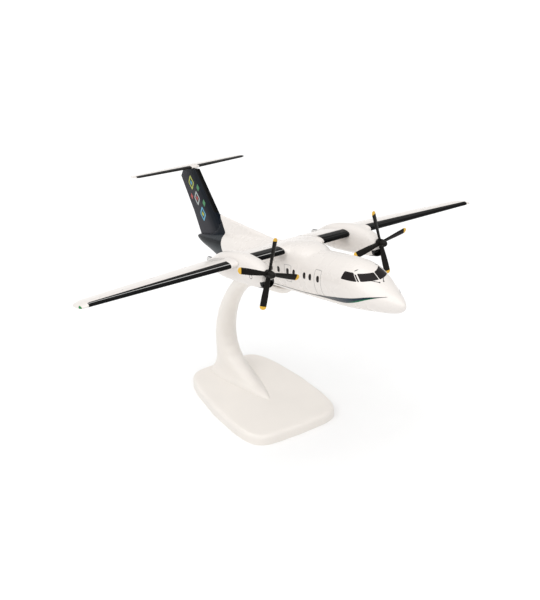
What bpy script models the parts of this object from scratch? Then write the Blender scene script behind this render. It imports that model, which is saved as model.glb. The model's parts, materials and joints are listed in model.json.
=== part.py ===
"""A 1:100 display model of a twin turboprop airliner, clipped to a one-armed desk stand.

High wing, T-tail, four-bladed propellers that turn on their shafts, no landing gear.
World frame: +X to the nose, +Y to port, +Z up, origin at the centre of the stand's underside.
The aircraft is drawn level in its own frame (nose tip just aft of x = 0, cabin centreline at
z = 0) and hangs from an empty that pitches it nose-up. Lengths below are millimetres.
"""

from math import asin, cos, pi, radians, sin, sqrt

import bmesh
import bpy
from mathutils import Vector

MM = 0.001
GAP = 0.3
MERGE_DISTANCE = 0.00001

# Where the aircraft sits on its stand
NOSE_TIP_X = 138.7
CENTRELINE_Z = 130.4
PITCH = radians(11.65)

# Fuselage: x, crown, keel, half width, height of the widest point
CABIN_RADIUS = 13.45
NOSE_STATIONS = [
    (-1.0, -6.4, -6.4, 0.0, -6.4),
    (-1.9, -4.9, -8.2, 1.4, -6.3),
    (-3.6, -3.5, -9.5, 2.8, -6.1),
    (-6.3, -1.8, -10.5, 4.4, -5.5),
    (-10.0, -0.1, -11.1, 6.3, -4.7),
    (-15.0, 2.3, -11.6, 8.6, -3.6),
    (-19.7, 4.7, -11.8, 10.5, -2.6),
    (-23.2, 7.7, -12.1, 11.6, -1.9),
    (-27.0, 10.1, -12.4, 12.6, -1.2),
    (-32.0, 12.2, -12.8, 13.1, -0.6),
    (-38.0, 13.2, -13.2, 13.4, -0.2),
    (-46.0, CABIN_RADIUS, -CABIN_RADIUS, CABIN_RADIUS, 0.0),
]
TAIL_STATIONS = [
    (-138.0, CABIN_RADIUS, -CABIN_RADIUS, CABIN_RADIUS, 0.0),
    (-150.0, 13.3, -12.6, 13.1, 0.4),
    (-162.0, 12.8, -9.8, 11.9, 1.6),
    (-175.0, 11.7, -5.9, 9.7, 2.8),
    (-188.0, 10.0, -2.3, 7.3, 3.8),
    (-200.0, 8.2, 0.2, 5.1, 4.3),
    (-209.5, 6.8, 2.7, 2.7, 4.8),
    (-214.6, 5.1, 5.1, 0.0, 5.1),
]
FUSELAGE_SIDES = 52
NOSE_RINGS = 22
TAIL_RINGS = 16

# Dorsal fillet in front of the fin: x, ridge height, half width at the ridge, half width at its foot
DORSAL_STATIONS = [
    (-110.0, 13.0, 3.0, 6.0),
    (-121.0, 14.6, 2.4, 6.0),
    (-130.0, 15.9, 2.1, 5.8),
    (-148.5, 18.4, 1.5, 5.2),
    (-167.5, 21.2, 1.0, 4.2),
    (-180.2, 23.0, 0.8, 3.4),
    (-190.0, 20.0, 0.5, 2.4),
]
DORSAL_FOOT_Z = 8.0

# Fairing over the wing roots: x, crown height, half width
SADDLE_STATIONS = [
    (-65.0, 12.8, 4.0),
    (-69.0, 13.5, 7.4),
    (-73.0, 14.5, 9.8),
    (-79.0, 15.6, 12.2),
    (-85.0, 16.1, 13.2),
    (-92.0, 16.0, 13.4),
    (-100.0, 15.1, 13.4),
    (-107.0, 14.0, 13.2),
    (-114.0, 13.0, 12.2),
]
SADDLE_FOOT_Z = 6.0
SADDLE_RINGS = 16

# Wing: span station, leading edge x, trailing edge x, chord line height, thickness over chord
WING_STATIONS = [
    (12.0, -84.7, -111.8, 13.4, 0.17),
    (37.0, -84.7, -111.4, 13.4, 0.17),
    (125.0, -88.6, -103.4, 11.95, 0.19),
    (128.0, -88.9, -102.6, 11.5, 0.15),
    (129.6, -90.6, -101.8, 11.1, 0.11),
    (130.3, -94.0, -100.5, 10.7, 0.08),
]
WING_ROOT_Y = 12.9
WING_INNER_END = 36.0
AIRFOIL_POINTS = 15
TRAILING_EDGE_THICKNESS = 0.35

# Engine nacelle: x, crown, keel, half width, height of the widest point
NACELLE_Y = 36.8
NACELLE_STATIONS = [
    (-66.3, 11.7, 1.8, 3.9, 4.8),
    (-68.0, 13.1, 1.6, 4.6, 5.6),
    (-72.0, 14.9, 1.3, 5.4, 7.0),
    (-80.0, 16.8, 1.1, 6.2, 8.4),
    (-92.0, 17.9, 1.1, 6.7, 9.3),
    (-104.0, 17.1, 1.2, 6.4, 9.0),
    (-112.0, 15.6, 1.7, 5.5, 8.8),
    (-118.0, 13.6, 2.9, 4.3, 8.6),
    (-122.0, 11.9, 4.8, 3.1, 8.7),
    (-124.5, 10.9, 6.6, 2.3, 8.9),
]
NACELLE_SIDES = 32
NACELLE_RINGS = 18
INTAKE_SIZE = (7.0, 3.5)
INTAKE_Z = 4.0
INTAKE_DEPTH = 4.0
SHAFT_BORE_RADIUS = 1.1
SHAFT_BORE_DEPTH = 8.0

# Exhaust stub behind each nacelle
EXHAUST_START_X = -122.0
EXHAUST_END_X = -130.6
EXHAUST_Z = 9.0
EXHAUST_RADIUS = 1.4
EXHAUST_WALL = 0.35

# Propeller
HUB_X = -64.3
HUB_Z = 9.8
THRUST_LINE_TILT = 0.039
PROPELLER_RADIUS = 19.0
BLADE_COUNT = 4
STARBOARD_PHASE = -0.341
PORT_PHASE = 0.187
# Blade: radius, chord, pitch in degrees, thickness
BLADE_STATIONS = [
    (0.8, 2.1, 38.0, 1.3),
    (4.0, 2.25, 34.0, 1.1),
    (8.0, 2.75, 28.0, 0.9),
    (12.5, 3.1, 23.0, 0.75),
    (17.2, 3.15, 20.0, 0.65),
    (18.6, 2.7, 20.0, 0.55),
    (PROPELLER_RADIUS, 1.6, 20.0, 0.4),
]
BLADE_SIDES = 10
HUB_RADIUS = 2.3
HUB_FRONT = 1.3
HUB_BACK = -1.5
SHAFT_RADIUS = 0.8
SHAFT_LENGTH = 6.0
SPINNER_RADIUS = 2.1
SPINNER_LENGTH = 3.6

# Fin: height, leading edge x, trailing edge x, thickness
FIN_STATIONS = [
    (6.5, -169.6, -209.4, 3.4),
    (21.6, -179.2, -215.0, 2.9),
    (44.6, -194.7, -226.6, 2.3),
    (50.4, -198.6, -220.9, 2.1),
]
FIN_POINTS = 12

# Tailplane: span station, leading edge x, trailing edge x, thickness
TAILPLANE_Z = 51.6
TAILPLANE_STATIONS = [
    (0.0, -203.4, -222.5, 2.0),
    (3.0, -203.6, -222.5, 2.0),
    (37.5, -207.0, -219.8, 1.3),
    (39.2, -208.4, -219.2, 1.0),
    (40.0, -211.2, -218.0, 0.6),
]
BULLET_LENGTH = 17.0
BULLET_RADIUS = 1.5
BULLET_NOSE_X = -199.2

# Stand base
BASE_LENGTH = 97.1
BASE_HEIGHT = 6.5
BASE_END_BOW = 0.0022
BASE_HALF_WIDTH = 34.3
BASE_SIDE_BOW = 0.0020
BASE_WIDEST_X = 13.0
BASE_SQUARENESS = 2 / 7.5
BASE_EDGE_ROUND = 2.6

# Foot of the stand arm: x of its rear and its front tip, z, half width, share of the teardrop shape
FOOT_STATIONS = [
    (-45.8, 15.6, BASE_HEIGHT + GAP, 16.2, 1.0),
    (-45.7, 9.8, 7.6, 14.6, 0.95),
    (-45.8, 0.0, 9.0, 12.4, 0.8),
    (-46.2, -9.0, 11.5, 10.2, 0.6),
    (-46.6, -18.5, 15.0, 8.8, 0.35),
    (-47.0, -27.5, 20.0, 7.9, 0.15),
    (-47.1, -32.6, 26.0, 7.4, 0.05),
]
# Upper arm: spine x, z, half depth across the spine, half width
ARM_SPINE = [
    (-40.6, 33.0, 6.3, 7.2),
    (-39.6, 41.0, 6.0, 6.9),
    (-36.8, 50.0, 5.7, 6.5),
    (-32.8, 58.0, 5.3, 6.1),
    (-28.0, 65.5, 5.0, 5.8),
    (-22.8, 72.0, 4.8, 5.7),
    (-16.8, 78.2, 4.8, 5.7),
    (-8.8, 84.3, 4.9, 5.9),
    (2.0, 88.6, 5.2, 6.2),
    (13.0, 91.3, 5.0, 6.4),
    (24.0, 93.1, 5.0, 6.5),
    (31.0, 94.6, 4.9, 6.4),
]
ARM_SIDES = 32
ARM_NOSE_X = 38.0

# Peg on the arm's head, in its socket in the belly
PEG_RADIUS = 2.2
PEG_X = -112.0
PEG_FOOT_Z = -15.5
PEG_TOP_Z = -8.5

# Colours: red, green, blue
WHITE_PLASTIC = (0.86, 0.85, 0.83)
NAVY_PAINT = (0.02, 0.03, 0.06)
BLACK_PLASTIC = (0.014, 0.013, 0.012)
STAND_WHITE = (0.83, 0.81, 0.78)


def make_collection(name):
    collection = bpy.data.collections.new(name)
    bpy.context.scene.collection.children.link(collection)
    return collection


def make_material(name, colour, roughness):
    material = bpy.data.materials.new(name)
    material.use_nodes = True
    shader = material.node_tree.nodes["Principled BSDF"]
    shader.inputs["Base Color"].default_value = (*colour, 1.0)
    shader.inputs["Roughness"].default_value = roughness
    material.diffuse_color = (*colour, 1.0)
    return material


def make_empty(name, collection, location, parent=None, pitch=0.0):
    empty = bpy.data.objects.new(name, None)
    empty.empty_display_size = 0.02
    empty.location = Vector(location) * MM
    empty.rotation_euler = (0.0, pitch, 0.0)
    empty.parent = parent
    collection.objects.link(empty)
    return empty


def make_object(name, mesh_builder, collection, material=None, parent=None):
    """Turns a bmesh drawn in millimetres into a metre-sized, outward-facing object."""
    bmesh.ops.scale(mesh_builder, vec=(MM, MM, MM), verts=mesh_builder.verts)
    bmesh.ops.recalc_face_normals(mesh_builder, faces=mesh_builder.faces)
    mesh = bpy.data.meshes.new(name)
    mesh_builder.to_mesh(mesh)
    mesh_builder.free()
    mesh.shade_smooth()
    mesh.set_sharp_from_angle(angle=radians(38))
    if material:
        mesh.materials.append(material)
    piece = bpy.data.objects.new(name, mesh)
    piece.parent = parent
    collection.objects.link(piece)
    return piece


def boolean(piece, cutter, operation):
    modifier = piece.modifiers.new(cutter.name, "BOOLEAN")
    modifier.operation = operation
    modifier.object = cutter
    cutter.hide_render = True
    cutter.display_type = "WIRE"


def loft(rings):
    """Skins a run of point rings of equal count and closes both ends with a flat face."""
    builder = bmesh.new()
    rows = [[builder.verts.new(point) for point in ring] for ring in rings]
    count = len(rows[0])
    for row, next_row in zip(rows, rows[1:]):
        for i in range(count):
            j = (i + 1) % count
            builder.faces.new((row[i], row[j], next_row[j], next_row[i]))
    builder.faces.new(rows[0])
    builder.faces.new(rows[-1])
    bmesh.ops.remove_doubles(builder, verts=builder.verts, dist=MERGE_DISTANCE / MM)
    return builder


def turned(name, profile, sides, collection, material=None, parent=None):
    """Turns a profile of (radius, height) points, top to bottom, about the local Z axis."""
    builder = bmesh.new()
    points = [builder.verts.new((radius * MM, 0.0, height * MM)) for radius, height in profile]
    for start, end in zip(points, points[1:]):
        builder.edges.new((start, end))
    mesh = bpy.data.meshes.new(name)
    builder.to_mesh(mesh)
    builder.free()
    if material:
        mesh.materials.append(material)
    piece = bpy.data.objects.new(name, mesh)
    piece.parent = parent
    collection.objects.link(piece)
    screw = piece.modifiers.new("turned", "SCREW")
    screw.steps = sides
    screw.render_steps = sides
    screw.use_merge_vertices = True
    screw.merge_threshold = MERGE_DISTANCE
    screw.use_smooth_shade = True
    return piece


def oval_ring(x, crown, keel, half_width, waist, sides, y=0.0, squareness=1.0):
    """An egg-shaped section across x; squareness below 1 fills out its corners."""
    ring = []
    for i in range(sides):
        angle = 2 * pi * (i + 0.5) / sides
        across = cos(angle)
        along = sin(angle)
        reach = crown - waist if along > 0 else waist - keel
        side = abs(across) ** squareness * (1 if across > 0 else -1)
        rise = abs(along) ** squareness * (1 if along > 0 else -1)
        ring.append((x, y + half_width * side, waist + reach * rise))
    return ring


def smooth_rows(stations, count):
    """A smooth run of evenly spaced rows through the given stations."""
    first = stations[0][0]
    last = stations[-1][0]
    places = [first + (last - first) * i / (count - 1) for i in range(count)]
    return [(x, *station_at(stations, x, 0.0)) for x in places]


def station_at(stations, x, tip_x):
    """Reads a smooth run of stations at x, eased so that the end at tip_x is rounded."""
    def reach(value):
        return sqrt(abs(value - tip_x))

    knots = [reach(row[0]) for row in stations]
    target = reach(x)
    order = sorted(range(len(knots)), key=lambda i: knots[i])
    knots = [knots[i] for i in order]
    rows = [stations[i] for i in order]
    span = 0
    while span < len(knots) - 2 and target > knots[span + 1]:
        span += 1
    width = knots[span + 1] - knots[span]
    t = (target - knots[span]) / width
    values = []
    for column in range(1, len(rows[0])):
        heights = [row[column] for row in rows]
        slopes = [knot_slope(knots, heights, i) for i in (span, span + 1)]
        values.append(
            (2 * t ** 3 - 3 * t ** 2 + 1) * heights[span]
            + (t ** 3 - 2 * t ** 2 + t) * width * slopes[0]
            + (3 * t ** 2 - 2 * t ** 3) * heights[span + 1]
            + (t ** 3 - t ** 2) * width * slopes[1]
        )
    return values


def knot_slope(knots, heights, i):
    """Slope at a knot; flat where the run turns, and never steep enough to overshoot."""
    last = len(knots) - 1
    before = (heights[i] - heights[i - 1]) / (knots[i] - knots[i - 1]) if i > 0 else None
    after = (heights[i + 1] - heights[i]) / (knots[i + 1] - knots[i]) if i < last else None
    if before is None:
        return after
    if after is None:
        return before
    if before * after <= 0:
        return 0.0
    return 2 * before * after / (before + after)


def airfoil(points, thickness, chord):
    """A closed symmetric section as (distance behind the leading edge, height) pairs."""
    upper = []
    for i in range(points):
        x = (1 - cos(pi * i / (points - 1))) / 2
        half = 5 * thickness * (
            0.2969 * sqrt(x) - 0.1260 * x - 0.3516 * x ** 2 + 0.2843 * x ** 3 - 0.1036 * x ** 4
        )
        half = half * chord + TRAILING_EDGE_THICKNESS / 2 * x
        upper.append((x * chord, half))
    lower = [(x, -z) for x, z in upper[1:]]
    return upper[::-1] + lower


def wing_half(side, start, end, margin=0.0):
    """Lofts the wing between two span stations; the margin thickens it for a cutter."""
    return loft([wing_ring(side * row[0], row, margin) for row in wing_rows(start, end)])


def wing_ring(y, row, margin=0.0):
    leading, trailing, height, thickness = row[1:]
    chord = leading - trailing
    ring = []
    for x, z in airfoil(AIRFOIL_POINTS, thickness, chord):
        grown_x = leading + margin - x * (chord + 2 * margin) / chord
        grown_z = z + (margin if z > 0 else -margin if z < 0 else 0.0)
        ring.append((grown_x, y, height + grown_z))
    return ring


def wing_rows(start, end):
    """The wing stations between two span positions, with both ends read off in between."""
    inside = [row for row in WING_STATIONS if start < row[0] < end]
    return [wing_row_at(start)] + inside + [wing_row_at(end)]


def wing_row_at(y):
    for low, high in zip(WING_STATIONS, WING_STATIONS[1:]):
        if low[0] <= y <= high[0]:
            share = (y - low[0]) / (high[0] - low[0])
            return tuple(a + (b - a) * share for a, b in zip(low, high))
    return WING_STATIONS[-1]


def fuselage_rings(margin=0.0):
    nose_tip = NOSE_STATIONS[0][0]
    nose_reach = sqrt(nose_tip - NOSE_STATIONS[-1][0])
    tail_end = TAIL_STATIONS[-1][0]
    tail_reach = sqrt(TAIL_STATIONS[0][0] - tail_end)
    rings = []
    for i in range(1, NOSE_RINGS + 1):
        x = nose_tip - (nose_reach * i / NOSE_RINGS) ** 2
        rings.append((x, *station_at(NOSE_STATIONS, x, nose_tip)))
    for i in range(TAIL_RINGS):
        x = tail_end + (tail_reach * (1 - i / TAIL_RINGS)) ** 2
        rings.append((x, *station_at(TAIL_STATIONS, x, tail_end)))
    return [
        oval_ring(x, crown + margin, keel - margin, width + margin, waist, FUSELAGE_SIDES)
        for x, crown, keel, width, waist in rings
    ]


def build_fuselage(collection, cutters, aircraft, material):
    fuselage = make_object("fuselage", loft(fuselage_rings()), collection, material, aircraft)

    saddle_rings = []
    for x, crown, half_width in smooth_rows(SADDLE_STATIONS, SADDLE_RINGS):
        saddle_rings.append(oval_ring(x, crown, -crown + 2 * SADDLE_FOOT_Z, half_width,
                                      SADDLE_FOOT_Z, FUSELAGE_SIDES, squareness=0.75))
    saddle = make_object("wing_saddle", loft(saddle_rings), cutters, None, aircraft)
    boolean(fuselage, saddle, "UNION")

    reach = WING_ROOT_Y + 1.0
    centre_rings = [wing_ring(y, WING_STATIONS[0]) for y in (-reach, reach)]
    centre = make_object("wing_centre", loft(centre_rings), cutters, None, aircraft)
    boolean(fuselage, centre, "UNION")

    dorsal_rings = []
    for x, ridge, top, foot in DORSAL_STATIONS:
        dorsal_rings.append([
            (x, -foot, DORSAL_FOOT_Z), (x, foot, DORSAL_FOOT_Z),
            (x, (foot + top) / 2.2, (DORSAL_FOOT_Z + ridge) / 2),
            (x, top, ridge - 0.9 * top), (x, 0.6 * top, ridge - 0.2 * top),
            (x, 0.0, ridge), (x, -0.6 * top, ridge - 0.2 * top), (x, -top, ridge - 0.9 * top),
            (x, -(foot + top) / 2.2, (DORSAL_FOOT_Z + ridge) / 2),
        ])
    dorsal = make_object("dorsal_fillet", loft(dorsal_rings), cutters, None, aircraft)
    boolean(fuselage, dorsal, "UNION")

    for side, label in ((-1, "starboard"), (1, "port")):
        pocket = make_object(f"wing_pocket_{label}", wing_half(side, WING_ROOT_Y, 17.0, GAP),
                             cutters, None, aircraft)
        boolean(fuselage, pocket, "DIFFERENCE")

    fin_slot = make_object("fin_slot", fin_loft(GAP), cutters, None, aircraft)
    boolean(fuselage, fin_slot, "DIFFERENCE")

    socket = build_peg("peg_socket", GAP, cutters, aircraft)
    boolean(fuselage, socket, "DIFFERENCE")


def build_peg(name, margin, cutters, aircraft):
    radius = PEG_RADIUS + margin
    peg = turned(name, [
        (0.0, PEG_TOP_Z + margin), (radius, PEG_TOP_Z + margin),
        (radius, PEG_FOOT_Z), (0.0, PEG_FOOT_Z),
    ], 16, cutters, None, aircraft)
    peg.location = Vector((PEG_X, 0.0, 0.0)) * MM
    return peg


def fin_loft(margin=0.0):
    rings = []
    for z, leading, trailing, thickness in FIN_STATIONS:
        if margin and z == FIN_STATIONS[0][0]:
            z -= margin
        chord = leading - trailing
        ring = []
        for x, y in airfoil(FIN_POINTS, thickness / chord, chord):
            grown_x = leading + margin - x * (chord + 2 * margin) / chord
            ring.append((grown_x, y + (margin if y > 0 else -margin if y < 0 else 0.0), z))
        rings.append(ring)
    return loft(rings)


def build_fin(collection, aircraft, material):
    return make_object("fin", fin_loft(), collection, material, aircraft)


def build_tailplane(collection, cutters, aircraft, material):
    rings = []
    rows = [(-y, *rest) for y, *rest in TAILPLANE_STATIONS[:0:-1]] + TAILPLANE_STATIONS
    for y, leading, trailing, thickness in rows:
        chord = leading - trailing
        rings.append([(leading - x, y, TAILPLANE_Z + z)
                      for x, z in airfoil(FIN_POINTS, thickness / chord, chord)])
    tailplane = make_object("tailplane", loft(rings), collection, material, aircraft)
    bullet_rings = []
    steps = 8
    for i in range(1, steps):
        share = i / steps
        radius = BULLET_RADIUS * sin(pi * share) ** 0.5
        bullet_rings.append(oval_ring(BULLET_NOSE_X - BULLET_LENGTH * share, TAILPLANE_Z + radius,
                                      TAILPLANE_Z - 0.6 * radius, radius, TAILPLANE_Z, 12))
    bullet = make_object("tailplane_bullet", loft(bullet_rings), cutters, None, aircraft)
    boolean(tailplane, bullet, "UNION")
    return tailplane


def nacelle_loft(side, margin=0.0):
    rings = []
    for x, crown, keel, half_width, waist in smooth_rows(NACELLE_STATIONS, NACELLE_RINGS):
        rings.append(oval_ring(x, crown + margin, keel - margin, half_width + margin,
                               waist, NACELLE_SIDES, side * NACELLE_Y, 0.88))
    if margin:
        rings = [[(x + margin, y, z) for x, y, z in rings[0]]] + rings
        rings.append([(x - margin, y, z) for x, y, z in rings[-1]])
    return loft(rings)


def build_nacelle(side, label, collection, cutters, aircraft, hub, material):
    nacelle = make_object(f"nacelle_{label}", nacelle_loft(side), collection, material, aircraft)

    width, height = INTAKE_SIZE
    front = NACELLE_STATIONS[0][0]
    intake_rings = [
        oval_ring(x, INTAKE_Z + height / 2 * grow, INTAKE_Z - height / 2 * grow, width / 2 * grow,
                  INTAKE_Z, 20, side * NACELLE_Y, 0.8)
        for x, grow in ((front + 1.0, 1.0), (front - INTAKE_DEPTH, 0.8))
    ]
    intake = make_object(f"intake_{label}", loft(intake_rings), cutters, None, aircraft)
    boolean(nacelle, intake, "DIFFERENCE")

    bore = turned(f"shaft_bore_{label}", [
        (0.0, 3.0), (SHAFT_BORE_RADIUS, 3.0),
        (SHAFT_BORE_RADIUS, -SHAFT_BORE_DEPTH), (0.0, -SHAFT_BORE_DEPTH),
    ], 16, cutters, None, hub)
    bore.rotation_euler = (0.0, pi / 2, 0.0)
    boolean(nacelle, bore, "DIFFERENCE")

    socket = turned(f"exhaust_socket_{label}", [
        (0.0, 1.0), (EXHAUST_RADIUS + GAP, 1.0),
        (EXHAUST_RADIUS + GAP, EXHAUST_END_X - EXHAUST_START_X),
        (0.0, EXHAUST_END_X - EXHAUST_START_X),
    ], 16, cutters, None, aircraft)
    socket.rotation_euler = (0.0, pi / 2, 0.0)
    socket.location = Vector((EXHAUST_START_X, side * NACELLE_Y, EXHAUST_Z)) * MM
    boolean(nacelle, socket, "DIFFERENCE")
    return nacelle


def build_exhaust(side, label, collection, aircraft, material):
    length = EXHAUST_END_X - EXHAUST_START_X
    inner = EXHAUST_RADIUS - EXHAUST_WALL
    floor = -1.0
    exhaust = turned(f"exhaust_{label}", [
        (0.0, 0.0), (EXHAUST_RADIUS, 0.0), (EXHAUST_RADIUS, length),
        (inner, length), (inner, floor), (0.0, floor),
    ], 16, collection, material, aircraft)
    exhaust.rotation_euler = (0.0, pi / 2, 0.0)
    exhaust.location = Vector((EXHAUST_START_X, side * NACELLE_Y, EXHAUST_Z)) * MM
    return exhaust


def build_wing(side, label, collection, cutters, aircraft, material):
    """Inner panel from the wing root to the nacelle, outer panel from there to the tip."""
    cutter = make_object(f"nacelle_clearance_{label}", nacelle_loft(side, GAP), cutters, None, aircraft)
    inner = make_object(f"wing_inner_{label}", wing_half(side, WING_ROOT_Y + GAP, WING_INNER_END),
                        collection, material, aircraft)
    boolean(inner, cutter, "DIFFERENCE")
    outer = make_object(f"wing_outer_{label}", wing_half(side, WING_INNER_END + 1.0, WING_STATIONS[-1][0]),
                        collection, material, aircraft)
    boolean(outer, cutter, "DIFFERENCE")


def blade_ring(radius, chord, pitch, thickness):
    """A flat oval section across a blade that stands up along Z, its leading edge aft to port."""
    ring = []
    for i in range(BLADE_SIDES):
        angle = 2 * pi * (i + 0.5) / BLADE_SIDES
        along = chord / 2 * cos(angle)
        across = thickness / 2 * sin(angle)
        ring.append((-along * sin(pitch) + across * cos(pitch),
                     along * cos(pitch) + across * sin(pitch), radius))
    return ring


def build_propeller(label, phase, collection, cutters, hub, material):
    root = loft([blade_ring(r, chord, radians(pitch), thick) for r, chord, pitch, thick in BLADE_STATIONS])
    blade_mesh = make_object(f"blade_shape_{label}", root, cutters, None, hub)
    propeller = turned(f"propeller_{label}", [
        (0.0, HUB_FRONT), (HUB_RADIUS, HUB_FRONT), (HUB_RADIUS, HUB_BACK),
        (SHAFT_RADIUS, HUB_BACK), (SHAFT_RADIUS, HUB_BACK - SHAFT_LENGTH),
        (0.0, HUB_BACK - SHAFT_LENGTH),
    ], 20, collection, material, hub)
    propeller.rotation_euler = (0.0, pi / 2, 0.0)
    for i in range(BLADE_COUNT):
        blade = blade_mesh if i == 0 else blade_mesh.copy()
        if i > 0:
            blade.name = f"blade_{label}_{i}"
            cutters.objects.link(blade)
        blade.rotation_euler = (phase + 2 * pi * i / BLADE_COUNT, 0.0, 0.0)
        boolean(propeller, blade, "UNION")

    spinner_profile = [(0.0, HUB_FRONT + GAP + SPINNER_LENGTH)]
    steps = 7
    for i in range(1, steps + 1):
        share = i / steps
        radius = SPINNER_RADIUS * sin(pi / 2 * share) ** 0.85
        spinner_profile.append((radius, HUB_FRONT + GAP + SPINNER_LENGTH * cos(pi / 2 * share)))
    spinner_profile.append((0.0, HUB_FRONT + GAP))
    spinner = turned(f"spinner_{label}", spinner_profile, 20, collection, material, hub)
    spinner.rotation_euler = (0.0, pi / 2, 0.0)


def base_outline():
    """Half of the outline from the front to the back, bowed ends and sides, rounded corners."""
    half_length = BASE_LENGTH / 2
    steps = 20
    points = []
    for i in range(-steps, steps + 1):
        angle = pi / 2 * i / steps
        blend = abs(sin(angle)) ** BASE_SQUARENESS
        side = abs(cos(angle)) ** BASE_SQUARENESS
        x = half_length * blend * (1 if angle > 0 else -1 if angle < 0 else 0)
        width = BASE_HALF_WIDTH - BASE_SIDE_BOW * (x - BASE_WIDEST_X) ** 2
        y = width * side
        bow = BASE_END_BOW * y ** 2 * blend
        points.append((x - bow * (1 if x > 0 else -1), y))
    return points


def build_stand_base(collection, material):
    half = base_outline()
    outline = half + [(x, -y) for x, y in half[-2:0:-1]]
    builder = bmesh.new()
    floor = [builder.verts.new((x, y, 0.0)) for x, y in outline]
    face = builder.faces.new(floor)
    lifted = bmesh.ops.extrude_face_region(builder, geom=[face])
    top = [item for item in lifted["geom"] if isinstance(item, bmesh.types.BMVert)]
    bmesh.ops.translate(builder, vec=(0.0, 0.0, BASE_HEIGHT), verts=top)
    base = make_object("stand_base", builder, collection, material)
    weight = base.data.attributes.new("bevel_weight_edge", "FLOAT", "EDGE")
    for edge in base.data.edges:
        heights = [base.data.vertices[i].co.z for i in edge.vertices]
        weight.data[edge.index].value = 1.0 if min(heights) > BASE_HEIGHT * MM * 0.9 else 0.0
    bevel = base.modifiers.new("top_edge", "BEVEL")
    bevel.limit_method = "WEIGHT"
    bevel.width = BASE_EDGE_ROUND * MM
    bevel.segments = 4
    return base


def foot_ring(rear, front, z, half_width, teardrop):
    """A level section of the foot, between an oval and a teardrop with its point forward."""
    ring = []
    for i in range(ARM_SIDES):
        angle = 2 * pi * i / ARM_SIDES
        back = (1 - cos(angle)) / 2
        drop = back ** 0.75 * (1 - back ** 10) ** 0.25 * (1 if sin(angle) > 0 else -1)
        side = half_width * ((1 - teardrop) * sin(angle) + teardrop * drop)
        ring.append((front + (rear - front) * back, side, z))
    return ring


def arm_ring(x, z, half_depth, half_width, slope):
    """An oval section of the arm, square to a spine that leans forward by the slope angle."""
    ring = []
    for i in range(ARM_SIDES):
        angle = 2 * pi * i / ARM_SIDES
        forward = half_depth * cos(angle)
        ring.append((x + forward * cos(slope), half_width * sin(angle), z - forward * sin(slope)))
    return ring


def build_stand_arm(collection, cutters, aircraft, material):
    rings = [foot_ring(*station) for station in FOOT_STATIONS]
    for i, (x, z, depth, width) in enumerate(ARM_SPINE):
        before = ARM_SPINE[max(i - 1, 0)]
        after = ARM_SPINE[min(i + 1, len(ARM_SPINE) - 1)]
        run = Vector((after[0] - before[0], after[1] - before[1])).normalized()
        rings.append(arm_ring(x, z, depth, width, asin(run.x)))
    end_x, end_z, depth, width = ARM_SPINE[-1]
    nose_steps = 5
    for i in range(1, nose_steps):
        share = sin(pi / 2 * i / nose_steps)
        shrink = sqrt(1 - share ** 2)
        reach = (ARM_NOSE_X - end_x) * share
        rings.append(arm_ring(end_x + reach, end_z + reach * run.y / run.x,
                              depth * shrink, width * shrink, asin(run.x)))
    arm = make_object("stand_arm", loft(rings), collection, material)
    belly = make_object("belly_clearance", loft(fuselage_rings(GAP)), cutters, None, aircraft)
    boolean(arm, belly, "DIFFERENCE")
    boolean(arm, build_peg("peg", 0.0, cutters, aircraft), "UNION")


def build_model():
    parts = make_collection("turboprop_airliner_model")
    cutters = make_collection("cutters")
    white = make_material("white_plastic", WHITE_PLASTIC, 0.3)
    navy = make_material("navy_paint", NAVY_PAINT, 0.3)
    black = make_material("black_plastic", BLACK_PLASTIC, 0.35)
    stand = make_material("stand_plastic", STAND_WHITE, 0.35)

    aircraft = make_empty("aircraft", parts, (NOSE_TIP_X, 0.0, CENTRELINE_Z), pitch=-PITCH)
    build_fuselage(parts, cutters, aircraft, white)
    build_fin(parts, aircraft, navy)
    build_tailplane(parts, cutters, aircraft, white)
    for side, label, phase in ((-1, "starboard", STARBOARD_PHASE), (1, "port", PORT_PHASE)):
        hub = make_empty(f"hub_{label}", parts, (HUB_X, side * NACELLE_Y, HUB_Z), aircraft,
                         pitch=THRUST_LINE_TILT)
        build_wing(side, label, parts, cutters, aircraft, white)
        build_nacelle(side, label, parts, cutters, aircraft, hub, white)
        build_exhaust(side, label, parts, aircraft, white)
        build_propeller(label, phase, parts, cutters, hub, black)
    build_stand_base(parts, stand)
    build_stand_arm(parts, cutters, aircraft, stand)


for existing in list(bpy.data.objects):
    bpy.data.objects.remove(existing, do_unlink=True)
build_model()
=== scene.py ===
"""Finish of a 1:100 display model of a twin turboprop airliner on its desk stand.

White mouldings with printed marks: de-icing boots, cabin and cockpit windows, door outlines,
a nose stripe, a navy tail and a plain lozenge design on the fin. Black propellers with yellow tips.
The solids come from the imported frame; this file adds smooth shells, propeller blades, prints,
materials and stage.
Lengths are millimetres in the aircraft's own frame, which is level, with the nose tip just aft of
x = 0, the cabin centreline at z = 0 and +y to port; that frame hangs nose-up in the world frame.
"""

import json
from math import asin, cos, pi, radians, sin

import bmesh
import bpy
from bpy.props import FloatProperty, FloatVectorProperty, PointerProperty
from mathutils import Matrix, Vector


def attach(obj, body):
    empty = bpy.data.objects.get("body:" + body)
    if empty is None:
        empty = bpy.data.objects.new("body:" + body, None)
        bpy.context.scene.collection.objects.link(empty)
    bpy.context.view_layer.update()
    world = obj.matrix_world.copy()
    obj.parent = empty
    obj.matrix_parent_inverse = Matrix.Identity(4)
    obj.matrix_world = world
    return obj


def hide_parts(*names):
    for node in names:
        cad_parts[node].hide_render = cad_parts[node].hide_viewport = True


bl_info = {
    "name": "Turboprop Airliner Desk Model",
    "version": (1, 0, 0),
    "blender": (4, 5, 0),
    "location": "3D View > Sidebar > Desk Model",
    "description": "Prints, finishes and stage for a turboprop airliner display model",
    "category": "Object",
}

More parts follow.
